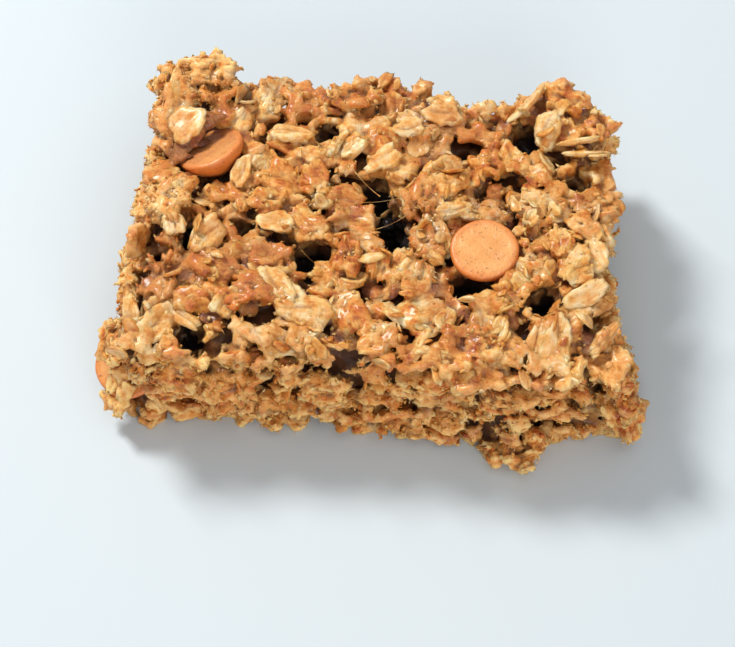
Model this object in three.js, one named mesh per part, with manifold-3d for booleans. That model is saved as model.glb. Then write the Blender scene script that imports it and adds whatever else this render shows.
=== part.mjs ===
// A baked oat granola bar, cut from a tray, with three baking chips set in it.
// Millimetres, +Z up, +X along the bar, the front cut face towards -Y.
// The origin is at the middle of the base that the bar lies on.
import * as THREE from "three";
import { mergeVertices } from "three/addons/utils/BufferGeometryUtils.js";
import Module from "manifold-3d";

const wasm = await Module();
wasm.setup();

// The baked slab, and how far its corners and its upper edges are rounded off
const THICK = 20.2;
const CORNER_ROUND = 0.12;
const EDGE_ROUND = 1.2;
const GRID = { along: 18, across: 12, up: 4 };

// The four cut sides: how far out each one stands at the top, how much further its foot spreads,
// and its swellings and dips, each with its place along the side, width, mm outwards and mm more
// at the foot. The shift keeps the sides' small relief from being alike.
const SIDES = {
  left: {
    out: 34.8, foot: 1.3, shift: 0,
    swells: [{ at: -24, width: 10, out: 2.4, foot: 0 }, { at: -5, width: 9, out: 2.0, foot: 0.4 }],
  },
  right: {
    out: 32.4, foot: 1.2, shift: 9,
    swells: [{ at: -20, width: 9.5, out: 2.6, foot: 3.75 }, { at: 20, width: 5, out: -0.8, foot: 0 }],
  },
  front: {
    out: 21.7, foot: 1.0, shift: 4,
    swells: [
      { at: -32, width: 5, out: 1.2, foot: 0 }, { at: -1.5, width: 3, out: -0.8, foot: 0 },
      { at: 5, width: 7, out: 0, foot: 1.2 }, { at: 12, width: 7, out: 0.8, foot: 0 },
      { at: 20.5, width: 5, out: 0, foot: 4.6 }, { at: 37, width: 8.5, out: -3.8, foot: 2.8 },
    ],
  },
  back: {
    out: 24.2, foot: 0.5, shift: -7,
    swells: [
      { at: -29, width: 6, out: 2.6, foot: 0 }, { at: -16, width: 3.5, out: -1.6, foot: 0 },
      { at: -1.5, width: 9, out: 2.6, foot: 0 }, { at: 13.5, width: 3.5, out: -2.0, foot: 0 },
      { at: 24, width: 4, out: 2.3, foot: 0 }, { at: 35, width: 4, out: -2.6, foot: 0 },
    ],
  },
};

// Broad lumps and dips of the baked top: centre, widths along X and Y, and mm upwards
const TOP_SWELLS = [
  { x: -28, y: 22, wide: 7, deep: 6, up: 1.6 }, { x: -29, y: 12, wide: 6, deep: 6, up: 1.3 },
  { x: 25, y: 23, wide: 5, deep: 4, up: 1.4 }, { x: 20, y: -9, wide: 5, deep: 4, up: 0.9 },
  { x: -15, y: -13, wide: 9, deep: 5, up: 0.8 }, { x: 28, y: -2, wide: 5, deep: 6, up: 0.7 },
  { x: 0, y: 3, wide: 7, deep: 7, up: -1.3 }, { x: -23, y: 0, wide: 5, deep: 5, up: -0.9 },
  { x: 0, y: -25, wide: 200, deep: 5, up: -0.9 }, { x: 36, y: 0, wide: 5, deep: 200, up: -0.5 },
];

// Height of the small uneven relief on the walls and on the top, whose waves are 7 to 10 mm long
const WALL_RELIEF = 0.45;
const TOP_RELIEF = 0.5;

// An oat flake, half sizes, and how many lie on the top and stand out of the walls
const OAT = { long: 2.8, wide: 2.1, thick: 0.95, sides: 6, rings: 3 };
const TOP_OATS = 56;
const WALL_OATS = 42;

// A baking chip: a low drop with a flat base, here lying base up, and the gap left around it
const CHIP = { radius: 5.0, height: 5.2, lip: 0.45, around: 22 };
const GAP = 0.3;

// How far everything is moved so that the origin is the middle of the base
const TO_MIDDLE = [0.6, 0.18, 0];

const DEGREE = Math.PI / 180;
const bump = (x, centre, width) => Math.exp(-(((x - centre) / width) ** 2));
const mix = (a, b, t) => a + (b - a) * t;
const fraction = (x) => x - Math.floor(x);
// A fixed, even-looking number between 0 and 1 for item n and property k
const chance = (n, k) => fraction(Math.sin(n * 12.9898 + k * 78.233) * 43758.5453);

function sideReach({ out, foot, shift, swells }, p, h) {
  // How far out a side stands at place p along it and height share h, from 0 at the base to 1
  const z = h * THICK;
  const q = p + shift;
  const relief = Math.sin(0.95 * q + 1.6 * Math.sin(0.55 * z))
    * Math.sin(0.62 * z + 1.3 * Math.sin(0.4 * q) + 0.8);
  let swell = 0;
  for (const one of swells) swell += bump(p, one.at, one.width) * (one.out + one.foot * (1 - h));
  return out + foot * (1 - h) + swell + WALL_RELIEF * relief;
}

const leftSide = (y, h) => -sideReach(SIDES.left, y, h);
const rightSide = (y, h) => sideReach(SIDES.right, y, h);
const frontSide = (x, h) => -sideReach(SIDES.front, x, h);
const backSide = (x, h) => sideReach(SIDES.back, x, h);

function topHeight(x, y) {
  // Height of the baked top: the broad lumps and dips, and ripples a little wider than an oat
  let swell = 0;
  for (const one of TOP_SWELLS) swell += one.up * bump(x, one.x, one.wide) * bump(y, one.y, one.deep);
  const ripple = Math.sin(0.7 * x + 2.1 * Math.sin(0.3 * y))
    * Math.sin(0.65 * y + 1.7 * Math.sin(0.35 * x + 1));
  return THICK + swell + TOP_RELIEF * ripple;
}

// Hollows in the top: centre, half sizes along and across, depth and turn in degrees
const TOP_HOLLOWS = [
  { x: -1.9, y: 7.2, a: 2.5, b: 2.4, deep: 9, turn: 20 },
  { x: 1.4, y: 1.4, a: 2.1, b: 4.6, deep: 10, turn: 14 },
  { x: -9.8, y: -4.6, a: 2.4, b: 2.2, deep: 8, turn: 0 },
  { x: -14.2, y: -2.2, a: 2.6, b: 1.1, deep: 4, turn: -12 },
  { x: 13.4, y: -8.4, a: 2.9, b: 2.3, deep: 8, turn: -20 },
  { x: 20.0, y: 17.2, a: 2.0, b: 2.9, deep: 6, turn: -20 },
  { x: 25.4, y: 14.6, a: 1.9, b: 1.7, deep: 5, turn: 0 },
  { x: 27.8, y: 10.8, a: 1.9, b: 1.3, deep: 5, turn: 15 },
  { x: -32.0, y: -5.3, a: 1.6, b: 1.2, deep: 6, turn: -30 },
  { x: -28.3, y: -1.4, a: 0.9, b: 2.6, deep: 6, turn: 0 },
  { x: 24.0, y: -10.3, a: 1.7, b: 2.2, deep: 7, turn: -30 },
  { x: -9.3, y: 16.8, a: 1.6, b: 1.1, deep: 4, turn: 10 },
  { x: -12.9, y: 18.4, a: 1.0, b: 0.9, deep: 3, turn: 0 },
  { x: 12.6, y: 15.0, a: 1.5, b: 1.1, deep: 4, turn: 0 },
  { x: 18.0, y: 10.2, a: 1.5, b: 0.7, deep: 3, turn: -10 },
  { x: -20.2, y: 0.2, a: 1.4, b: 1.0, deep: 4, turn: 0 },
  { x: -24.2, y: 8.4, a: 2.6, b: 0.9, deep: 4, turn: 25 },
  { x: -17.0, y: -15.4, a: 2.1, b: 1.7, deep: 2, turn: 0 },
  { x: -26.4, y: -18.4, a: 1.9, b: 2.6, deep: 6, turn: 20 },
];

// Hollows and cracks in the front face: centre and half sizes along X, Y and Z, tilt in degrees
const FRONT_HOLLOWS = [
  { x: -5.4, y: -22.0, z: 16.6, a: 4.2, b: 2.6, c: 0.8, tilt: -6 },
  { x: 12.1, y: -24.2, z: 8.5, a: 1.2, b: 2.0, c: 0.9, tilt: 0 },
  { x: 19.7, y: -25.4, z: 9.0, a: 1.4, b: 2.0, c: 0.5, tilt: 0 },
  { x: 30.0, y: -22.6, z: 5.5, a: 1.6, b: 2.4, c: 1.1, tilt: 20 },
  { x: -33.4, y: -22.8, z: 1.6, a: 1.5, b: 1.6, c: 0.7, tilt: 0 },
  { x: 31.0, y: -19.6, z: 15.0, a: 0.7, b: 3.0, c: 4.6, tilt: -28 },
];

// The larger oats and clumps that stand out of the top and the front:
// centre, half sizes, turn in plan and, where it isn't level, pitch and roll in degrees
const LARGE_OATS = [
  { name: "upright oat", at: [23.4, 18.0, 22.0], size: [3.1, 2.0, 0.45], turn: 80, pitch: 32, roll: -8 },
  { name: "oat on edge, upper", at: [28.0, 16.2, 22.0], size: [3.4, 1.5, 0.4], turn: 16, roll: -62 },
  { name: "oat on edge, lower", at: [28.9, 14.6, 21.4], size: [3.5, 1.6, 0.4], turn: 4, roll: -58 },
  { name: "long back oat", at: [20.6, 22.6, 22.2], size: [3.9, 1.7, 0.5], turn: 50, pitch: 14, roll: -60 },
  { name: "back right clump", at: [25.8, 23.6, 22.0], size: [3.4, 2.8, 1.3], turn: -30, roll: 20 },
  { name: "clump by the right edge", at: [31.4, 19.6, 20.8], size: [2.4, 1.9, 1.2], turn: 20 },
  { name: "creased oat", at: [32.3, 5.7, 21.2], size: [2.5, 2.0, 1.2], turn: 10, roll: 15 },
  { name: "grooved oat", at: [29.3, 1.8, 21.6], size: [2.9, 2.0, 1.2], turn: -35, roll: 15 },
  { name: "oat behind it", at: [32.2, 1.2, 20.8], size: [2.0, 1.3, 0.9], turn: -70 },
  { name: "folded oat, left half", at: [28.3, -4.2, 21.6], size: [3.4, 1.9, 0.7], turn: 62, roll: -28 },
  { name: "folded oat, right half", at: [31.2, -2.8, 21.4], size: [2.8, 1.8, 0.7], turn: -62, roll: 24 },
  { name: "oat in front of them", at: [28.9, -6.2, 21.8], size: [2.3, 1.7, 0.7], turn: 35, roll: 20 },
  { name: "slanted oat", at: [29.8, -9.2, 21.0], size: [3.6, 1.6, 0.6], turn: 30, pitch: 8, roll: 26 },
  { name: "big grooved oat", at: [26.0, -17.2, 20.2], size: [3.9, 2.3, 0.7], turn: 82, pitch: 26 },
  { name: "narrow oat beside it", at: [23.1, -16.6, 20.0], size: [3.2, 1.3, 0.7], turn: 72, pitch: 22 },
  { name: "thin right oat", at: [32.8, -15.6, 19.8], size: [3.2, 1.1, 0.6], turn: 52, pitch: 12, roll: 30 },
  { name: "curl, top", at: [4.3, -14.6, 20.4], size: [3.4, 1.5, 0.55], turn: -24, roll: -30 },
  { name: "curl, side", at: [6.4, -18.4, 20.0], size: [3.0, 1.2, 0.5], turn: 68, pitch: 18, roll: -40 },
  { name: "toasted front crust", at: [13.6, -18.4, 20.2], size: [4.6, 3.2, 1.2], turn: -10, roll: 12 },
  { name: "crust ridge", at: [17.6, -16.2, 20.6], size: [3.2, 1.3, 0.8], turn: 70, pitch: 10 },
  { name: "pale oat in the middle", at: [4.6, -6.4, 21.0], size: [2.1, 1.6, 0.7], turn: 48, roll: 10 },
  { name: "toasted lobe", at: [-4.9, -5.8, 20.6], size: [3.6, 2.5, 1.6], turn: 78 },
  { name: "lobe beside it", at: [-0.2, -6.2, 20.4], size: [3.2, 2.0, 1.3], turn: 80, roll: 12 },
  { name: "long pale oat", at: [-14.2, -10.8, 21.2], size: [3.8, 1.8, 0.7], turn: -46, roll: 10 },
  { name: "wide pale oat", at: [-10.0, -14.6, 21.0], size: [4.3, 2.4, 0.9], turn: -8, roll: 14 },
  { name: "sticky toasted clump", at: [-18.1, -12.0, 21.0], size: [3.6, 3.0, 1.2], turn: 0 },
  { name: "back left lump", at: [-27.8, 25.2, 21.8], size: [4.2, 2.8, 1.6], turn: 4, roll: 10 },
  { name: "crag left of it", at: [-33.4, 23.4, 21.4], size: [2.8, 2.2, 1.5], turn: 70 },
  { name: "round oat", at: [-29.9, 15.2, 22.2], size: [3.0, 2.8, 0.7], turn: 60, pitch: 16, roll: -8 },
  { name: "ragged middle", at: [-31.2, 1.4, 21.6], size: [3.4, 2.8, 1.0], turn: 70, pitch: 6, roll: -10 },
  { name: "ragged back", at: [-30.4, 4.2, 21.6], size: [2.6, 2.2, 1.0], turn: 20, roll: 14 },
  { name: "ragged front", at: [-30.3, -1.6, 21.4], size: [2.2, 1.7, 0.9], turn: -60, pitch: -8 },
  { name: "plump tan oat", at: [-17.2, 3.4, 21.2], size: [2.9, 2.0, 1.1], turn: -8, roll: 8 },
  { name: "clear oat", at: [-21.2, 8.2, 20.6], size: [2.6, 1.4, 0.9], turn: 76, pitch: 12 },
  { name: "broad tan flake", at: [-25.2, -2.8, 20.6], size: [3.2, 2.2, 0.9], turn: 60, roll: 16 },
  { name: "flake by the small hole", at: [-15.4, -0.2, 20.6], size: [2.8, 1.6, 0.8], turn: 0, roll: 10 },
  { name: "pale lobes at the back", at: [-14.6, 15.2, 20.8], size: [3.3, 1.4, 0.8], turn: 0, roll: -16 },
  { name: "pale sliver", at: [-7.6, 14.2, 21.2], size: [2.7, 0.8, 0.6], turn: 58, pitch: 6 },
  { name: "clump at the back", at: [-5.4, 22.4, 21.2], size: [3.6, 2.2, 1.2], turn: 8 },
  { name: "broad oat at the back", at: [7.8, 20.6, 21.2], size: [2.8, 2.4, 0.9], turn: -20, roll: 16 },
  { name: "flake near it", at: [2.9, 17.4, 21.2], size: [2.4, 1.6, 0.7], turn: 16, roll: 12 },
  { name: "flake towards the middle", at: [-0.5, 11.6, 21.0], size: [3.0, 1.7, 0.8], turn: 38, roll: 6 },
  { name: "clump right of the big hole", at: [6.9, 6.3, 20.8], size: [3.4, 2.4, 1.3], turn: 60 },
  { name: "peak above the chip", at: [10.3, 8.4, 21.0], size: [2.4, 1.8, 1.1], turn: 40, pitch: 14 },
  { name: "pale flake above the chip", at: [9.9, 3.8, 20.8], size: [3.2, 1.4, 0.7], turn: 18, roll: 18 },
  { name: "toasted clump", at: [14.8, 11.6, 21.2], size: [2.4, 2.2, 1.4], turn: 0 },
  { name: "clump at the right", at: [22.7, 10.8, 20.8], size: [2.8, 1.8, 1.0], turn: -20 },
  { name: "pale nut piece", at: [22.0, -4.4, 21.0], size: [2.0, 1.6, 1.2], turn: -30 },
  { name: "small pale flake", at: [21.6, 2.8, 20.9], size: [1.4, 1.0, 0.7], turn: 70 },
  { name: "tan lobe in front of the chip", at: [20.4, -9.0, 21.0], size: [4.4, 2.4, 1.3], turn: 44 },
  { name: "clump left of the chip", at: [7.2, -2.2, 20.8], size: [3.0, 2.6, 1.3], turn: 30 },
  { name: "upper shell", at: [-37.0, -18.0, 14.2], size: [3.6, 2.6, 1.0], turn: 62, pitch: 56, roll: -20 },
  { name: "lower shell", at: [-37.4, -22.0, 7.4], size: [4.6, 2.4, 1.0], turn: 62, pitch: 60, roll: -16 },
  { name: "pale prong", at: [-34.6, -16.8, 20.0], size: [3.4, 1.3, 0.7], turn: 96, pitch: 30, roll: -20 },
  { name: "outer curl", at: [-31.0, -17.6, 20.4], size: [3.2, 2.1, 0.8], turn: 62, pitch: 10, roll: 24 },
  { name: "inner curl", at: [-28.0, -16.2, 20.4], size: [3.8, 1.4, 0.7], turn: -28, roll: -20 },
  { name: "pale piece in the front", at: [-6.8, -22.2, 11.6], size: [3.2, 2.7, 1.3], turn: 0, roll: 68 },
  { name: "chunk in the front", at: [-20.7, -22.4, 12.4], size: [3.4, 2.9, 1.4], turn: 6, roll: 60 },
  { name: "toasted front chunk", at: [-27.6, -22.4, 13.6], size: [3.0, 2.6, 1.4], turn: -10, roll: 62 },
  { name: "pale band in the front", at: [19.2, -22.4, 13.4], size: [6.4, 1.6, 1.1], turn: 0, roll: 40 },
  { name: "lump at the front foot", at: [22.2, -26.4, 2.6], size: [2.8, 2.4, 1.8], turn: 10 },
  { name: "torn corner", at: [35.2, -19.6, 9.0], size: [5.2, 2.4, 1.2], turn: -40, pitch: -58, roll: 20 },
];

// Where each chip lies: the centre of its flat base, and the way that base leans in degrees
const CHIPS = [
  { name: "baking_chip_1", at: [15.1, -3.0, 21.9], leanX: 2, leanY: 1 },
  { name: "baking_chip_2", at: [-26.4, 12.2, 21.0], leanX: -24, leanY: -22 },
  { name: "baking_chip_3", at: [-36.2, -18.8, 9.0], leanX: 24, leanY: -14 },
];

function solidFrom(geometry, matrix) {
  // The closed body of a geometry, after its shared points are merged
  const copy = geometry.clone().applyMatrix4(matrix);
  copy.deleteAttribute("normal");
  copy.deleteAttribute("uv");
  const merged = mergeVertices(copy, 1e-4);
  const index = merged.index.array;
  const corners = [];
  for (let i = 0; i < index.length; i += 3) {
    const [a, b, c] = index.slice(i, i + 3);
    if (a !== b && b !== c && c !== a) corners.push(a, b, c);
  }
  return new wasm.Manifold(new wasm.Mesh({
    numProp: 3,
    vertProperties: new Float32Array(merged.attributes.position.array),
    triVerts: new Uint32Array(corners),
  }));
}

function turned(geometry, at, turn, pitch, roll) {
  // The body rolled about its long axis, pitched, turned in plan and set in its place
  const matrix = new THREE.Matrix4().makeTranslation(...at)
    .multiply(new THREE.Matrix4().makeRotationZ(turn * DEGREE))
    .multiply(new THREE.Matrix4().makeRotationY(-pitch * DEGREE))
    .multiply(new THREE.Matrix4().makeRotationX(roll * DEGREE));
  return solidFrom(geometry, matrix);
}

function bakedSlab() {
  // A box whose faces are drawn to the cut sides, the flat base and the lumpy top
  const box = new THREE.BoxGeometry(2, 2, 1, GRID.along, GRID.across, GRID.up);
  const points = box.attributes.position;
  for (let i = 0; i < points.count; i += 1) {
    const s = points.getX(i);
    const t = points.getY(i);
    const h = points.getZ(i) + 0.5;
    const sx = 0.5 + 0.5 * s * Math.sqrt(1 - CORNER_ROUND * t * t);
    const sy = 0.5 + 0.5 * t * Math.sqrt(1 - CORNER_ROUND * s * s);
    const xPlain = mix(-SIDES.left.out, SIDES.right.out, sx);
    const yPlain = mix(-SIDES.front.out, SIDES.back.out, sy);
    const x = mix(leftSide(yPlain, h), rightSide(yPlain, h), sx);
    const y = mix(frontSide(xPlain, h), backSide(xPlain, h), sy);
    const brim = EDGE_ROUND * h ** 8 * Math.max(s ** 12, t ** 12);
    const inset = EDGE_ROUND * h ** 8;
    points.setXYZ(i, x - inset * s ** 9, y - inset * t ** 9, h * topHeight(x, y) - brim);
  }
  return solidFrom(box, new THREE.Matrix4());
}

function oatGeometry([long, wide, thick]) {
  // An oval disc with a slight dish, like a rolled oat
  const disc = new THREE.SphereGeometry(1, OAT.sides, OAT.rings).rotateX(Math.PI / 2);
  const reach = 1 / Math.sin(Math.PI / OAT.rings);
  const points = disc.attributes.position;
  for (let i = 0; i < points.count; i += 1) {
    const x = points.getX(i);
    const y = points.getY(i);
    const z = points.getZ(i);
    const swell = Math.sign(z) * Math.abs(z) ** 0.8;
    points.setXYZ(i, reach * long * x, reach * wide * y, thick * (swell + 0.4 * x * x));
  }
  return disc;
}

function nearChip(x, y, reach) {
  return CHIPS.some(({ at }) => Math.hypot(x - at[0], y - at[1]) < reach);
}

function topOats() {
  // Oats lying about flat on the top, spread by an even two-way sequence
  const oats = [];
  for (let n = 0; n < TOP_OATS; n += 1) {
    const sx = fraction(0.5 + n * 0.7548776662);
    const sy = fraction(0.5 + n * 0.5698402910);
    const x = mix(-SIDES.left.out, SIDES.right.out, 0.017 + 0.966 * sx);
    const y = mix(-SIDES.front.out, SIDES.back.out, 0.025 + 0.955 * sy);
    if (nearChip(x, y, CHIP.radius + 1.6)) continue;
    const grow = 0.8 + 0.5 * chance(n, 1);
    const size = [OAT.long * grow, OAT.wide * grow, OAT.thick * (0.8 + 0.6 * chance(n, 2))];
    const at = [x, y, topHeight(x, y) - 0.2 + 0.5 * chance(n, 3)];
    const lean = 26 * (chance(n, 4) - 0.5);
    const roll = 56 * (chance(n, 5) - 0.5);
    oats.push(turned(oatGeometry(size), at, 360 * chance(n, 6), lean, roll));
  }
  return oats;
}

function wallOats() {
  // Oats cut through by the knife, edge on in the four walls, more or less level
  const oats = [];
  for (let n = 0; n < WALL_OATS; n += 1) {
    const length = SIDES.left.out + SIDES.right.out;
    const depth = SIDES.front.out + SIDES.back.out;
    const round = fraction(0.31 + n * 0.6180339887) * 2 * (length + depth);
    const h = 0.09 + 0.82 * fraction(n * 0.7548776662);
    const inward = 1.1 + 0.7 * chance(n, 11);
    let x;
    let y;
    let facing;
    if (round < length) {
      x = round - SIDES.left.out;
      y = frontSide(x, h) + inward;
      facing = 0;
    } else if (round < length + depth) {
      y = round - length - SIDES.front.out;
      x = rightSide(y, h) - inward;
      facing = 90;
    } else if (round < 2 * length + depth) {
      x = round - length - depth - SIDES.left.out;
      y = backSide(x, h) - inward;
      facing = 180;
    } else {
      y = round - 2 * length - depth - SIDES.front.out;
      x = leftSide(y, h) + inward;
      facing = 270;
    }
    const grow = 0.85 + 0.5 * chance(n, 12);
    const size = [OAT.long * grow, OAT.wide * grow, OAT.thick * (1.0 + 0.8 * chance(n, 13))];
    const turn = facing + 70 * (chance(n, 14) - 0.5);
    const roll = 70 * (chance(n, 15) - 0.5);
    if (nearChip(x, y, CHIP.radius)) continue;
    const lean = 20 * (chance(n, 16) - 0.5);
    oats.push(turned(oatGeometry(size), [x, y, h * THICK], turn, lean, roll));
  }
  return oats;
}

function hollow({ x, y, z, a, b, c, turn = 0, tilt = 0 }) {
  // An uneven egg-shaped body to take away
  const egg = new THREE.SphereGeometry(1, 8, 5).rotateX(Math.PI / 2);
  const points = egg.attributes.position;
  for (let i = 0; i < points.count; i += 1) {
    const around = Math.atan2(points.getY(i), points.getX(i));
    const wobble = 1 + 0.14 * Math.sin(3 * around + x) + 0.08 * Math.sin(2 * around + y);
    points.setXYZ(i, a * wobble * points.getX(i), b * wobble * points.getY(i), c * points.getZ(i));
  }
  const matrix = new THREE.Matrix4().makeTranslation(x, y, z)
    .multiply(new THREE.Matrix4().makeRotationZ(turn * DEGREE))
    .multiply(new THREE.Matrix4().makeRotationY(tilt * DEGREE));
  return solidFrom(egg, matrix);
}

function chipBody({ at, leanX, leanY }, grow) {
  // The drop turned about its own axis: flat base up, blunt tip down in the bar
  const { radius, height, lip, around } = CHIP;
  const profile = [
    [0, grow], [radius - lip, grow], [radius + grow, -lip], [0.97 * radius + grow, -0.24 * height],
    [0.82 * radius + grow, -0.52 * height], [0.52 * radius + grow, -0.8 * height],
    [0.2 * radius + grow, -0.97 * height], [0, -height - grow],
  ].map(([r, z]) => new THREE.Vector2(r, z)).reverse();
  const drop = new THREE.LatheGeometry(profile, around).rotateX(Math.PI / 2);
  const matrix = new THREE.Matrix4().makeTranslation(...at)
    .multiply(new THREE.Matrix4().makeRotationX(leanX * DEGREE))
    .multiply(new THREE.Matrix4().makeRotationY(leanY * DEGREE));
  return solidFrom(drop, matrix);
}

function oatBar() {
  // The slab with its oats joined on, its hollows and chip seats taken out and its base cut flat
  let body = bakedSlab();
  for (const pit of TOP_HOLLOWS) {
    body = body.subtract(hollow({ ...pit, z: topHeight(pit.x, pit.y) + 0.4, c: pit.deep }));
  }
  for (const pit of FRONT_HOLLOWS) body = body.subtract(hollow(pit));
  for (const oat of [...topOats(), ...wallOats()]) body = body.add(oat);
  for (const oat of LARGE_OATS) {
    const { size, at, turn, pitch = 0, roll = 0 } = oat;
    body = body.add(turned(oatGeometry(size), at, turn, pitch, roll));
  }
  for (const chip of CHIPS) body = body.subtract(chipBody(chip, GAP));
  const below = new THREE.BoxGeometry(120, 120, 20).translate(0, 0, -10);
  body = body.subtract(solidFrom(below, new THREE.Matrix4()));
  // Loose scraps and sealed hollows are dropped: the largest body is the bar
  return body.decompose().sort((a, b) => b.volume() - a.volume())[0];
}

function meshFrom(body, name, material) {
  const { vertProperties, triVerts } = body.getMesh();
  const geometry = new THREE.BufferGeometry();
  geometry.setAttribute("position", new THREE.BufferAttribute(new Float32Array(vertProperties), 3));
  geometry.setIndex(new THREE.BufferAttribute(new Uint32Array(triVerts), 1));
  geometry.translate(...TO_MIDDLE);
  geometry.computeVertexNormals();
  const mesh = new THREE.Mesh(geometry, material);
  mesh.name = name;
  return mesh;
}

const bakedOats = new THREE.MeshStandardMaterial({ color: 0xc8965f, roughness: 0.5, metalness: 0 });
const chipCandy = new THREE.MeshStandardMaterial({ color: 0xe0955f, roughness: 0.4, metalness: 0 });

const group = new THREE.Group();
group.add(meshFrom(oatBar(), "oat_bar", bakedOats));
for (const chip of CHIPS) group.add(meshFrom(chipBody(chip, 0), chip.name, chipCandy));

export default group;
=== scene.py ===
# A baked oat granola bar with baking chips, dressed over its measured solids.
import math

import bmesh
import bpy
import numpy as np
from mathutils import Matrix, Vector


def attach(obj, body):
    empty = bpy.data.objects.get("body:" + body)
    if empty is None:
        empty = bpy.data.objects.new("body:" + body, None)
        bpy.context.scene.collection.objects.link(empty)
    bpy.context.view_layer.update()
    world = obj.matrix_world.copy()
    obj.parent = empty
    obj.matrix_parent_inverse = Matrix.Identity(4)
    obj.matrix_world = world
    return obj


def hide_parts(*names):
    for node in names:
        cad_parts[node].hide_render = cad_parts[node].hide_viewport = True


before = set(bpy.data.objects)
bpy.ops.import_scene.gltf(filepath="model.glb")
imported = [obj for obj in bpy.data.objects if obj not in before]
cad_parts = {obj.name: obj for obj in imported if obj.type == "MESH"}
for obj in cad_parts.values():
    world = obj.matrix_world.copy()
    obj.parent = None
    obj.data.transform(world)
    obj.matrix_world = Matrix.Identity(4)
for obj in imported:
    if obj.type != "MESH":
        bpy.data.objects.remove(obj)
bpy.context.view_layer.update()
MM = 0.001

# The baked mass: rolled oats held together by brown sugar syrup and butter, pressed into a tray,
# baked and cut. It is torn, porous and knobbly, so no sheet of two parameters can carry it. It is
# worked out as a field of distances on a fine grid of cells, and its skin is the level surface.
CELL = 0.27
THICK = 20.2
FIELD_LOW = np.array([-41.6, -30.6, -0.81])
FIELD_HIGH = np.array([41.4, 30.4, 26.0])
COUNT = np.ceil((FIELD_HIGH - FIELD_LOW) / CELL).astype(int)
AXES = [(FIELD_LOW[i] + CELL * np.arange(COUNT[i])).astype(np.float32) for i in range(3)]
X = AXES[0][:, None, None]
Y = AXES[1][None, :, None]
Z = AXES[2][None, None, :]

# Each cut side: how far out it stands, how much further its foot spreads, the shift of its small
# relief, and its swells as (place along the side, width, mm outwards, mm more at the foot)
SIDES = {
    "left": (34.8, 1.3, 0, [(-24, 10, 2.4, 0), (-5, 9, 2.0, 0.4)]),
    "right": (32.4, 1.2, 9, [(-20, 9.5, 2.6, 3.75), (20, 5, -0.8, 0)]),
    "front": (21.7, 1.0, 4, [(-32, 5, 1.2, 0), (-1.5, 3, -0.8, 0), (5, 7, 0, 1.2), (12, 7, 0.8, 0),
                             (20.5, 5, 0, 4.6), (37, 8.5, -3.8, 2.8)]),
    "back": (24.2, 0.5, -7, [(-29, 6, 2.6, 0), (-16, 3.5, -1.6, 0), (-1.5, 9, 2.6, 0),
                             (13.5, 3.5, -2.0, 0), (24, 4, 2.3, 0), (35, 4, -2.6, 0)]),
}
# Broad lumps and dips of the baked top: centre, widths along X and Y, and mm upwards
TOP_SWELLS = [(-28, 22, 7, 6, 1.6), (-29, 12, 6, 6, 1.3), (25, 23, 5, 4, 1.4), (20, -9, 5, 4, 0.9),
              (-15, -13, 9, 5, 0.8), (28, -2, 5, 6, 0.7), (0, 3, 7, 7, -1.3), (-23, 0, 5, 5, -0.9),
              (0, -25, 200, 5, -0.9), (36, 0, 5, 200, -0.5)]
# Hollows in the top: centre, half sizes along and across, depth and turn in degrees
TOP_HOLLOWS = [(-1.9, 7.2, 2.5, 2.4, 9, 20), (1.4, 1.4, 2.1, 4.6, 10, 14), (-9.8, -4.6, 2.7, 2.7, 9, 0),
               (-14.2, -2.2, 2.6, 1.1, 4, -12), (13.4, -8.4, 2.9, 2.3, 8, -20),
               (20.0, 17.2, 2.0, 2.9, 6, -20), (25.4, 14.6, 1.9, 1.7, 5, 0), (27.8, 10.8, 1.9, 1.3, 5, 15),
               (-32.0, -5.3, 1.6, 1.2, 6, -30), (-28.3, -1.4, 0.9, 2.6, 6, 0), (24.0, -10.3, 1.7, 2.2, 7, -30),
               (-9.3, 16.8, 1.6, 1.1, 4, 10), (-12.9, 18.4, 1.0, 0.9, 3, 0), (12.6, 15.0, 1.5, 1.1, 4, 0),
               (18.0, 10.2, 1.5, 0.7, 3, -10), (-20.2, 0.2, 1.4, 1.0, 4, 0), (-24.2, 8.4, 2.6, 0.9, 4, 25),
               (-17.0, -15.4, 2.1, 1.7, 2, 0), (-26.4, -18.4, 1.9, 2.6, 6, 20)]
# Hollows and cracks in the front face: centre, half sizes along X, Y and Z, and tilt in degrees
FRONT_HOLLOWS = [(-5.4, -22.0, 16.4, 4.6, 3.0, 1.2, -6), (12.1, -24.2, 8.5, 1.2, 2.0, 0.9, 0),
                 (19.7, -25.4, 9.0, 1.4, 2.0, 0.5, 0), (30.0, -22.6, 5.5, 1.6, 2.4, 1.1, 20),
                 (-33.4, -22.8, 1.6, 1.5, 1.6, 0.7, 0), (31.0, -19.6, 15.0, 0.7, 3.0, 4.6, -28)]
# Where each chip lies: the centre of its flat base, and its lean about X and Y in degrees
CHIPS = {"baking_chip_1": ((15.1, -3.0, 21.9), 2, 1), "baking_chip_2": ((-26.4, 12.2, 21.0), -24, -22),
         "baking_chip_3": ((-36.2, -18.8, 9.0), 24, -14)}
CHIP_RADIUS = 5.0
CHIP_HEIGHT = 5.2
# How far everything is moved so that the origin is the middle of the base
TO_MIDDLE = np.array([0.6, 0.18, 0.0])


def bump(x, centre, width):
    """A bell of height one: e to the minus square of the distance from the centre over the width."""
    return np.exp(-(((x - centre) / width) ** 2))


def side_reach(side, p, z):
    """How far out a side stands: its plain reach, its spreading foot, its swells and a small relief."""
    out, foot, shift, swells = SIDES[side]
    lost = 1 - np.clip(z / THICK, 0, 1.2)
    q = p + shift
    relief = np.sin(0.95 * q + 1.6 * np.sin(0.55 * z)) * np.sin(0.62 * z + 1.3 * np.sin(0.4 * q) + 0.8)
    reach = out + foot * lost + 0.45 * relief
    for at, width, more, at_foot in swells:
        reach = reach + bump(p, at, width) * (more + at_foot * lost)
    return reach


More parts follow.
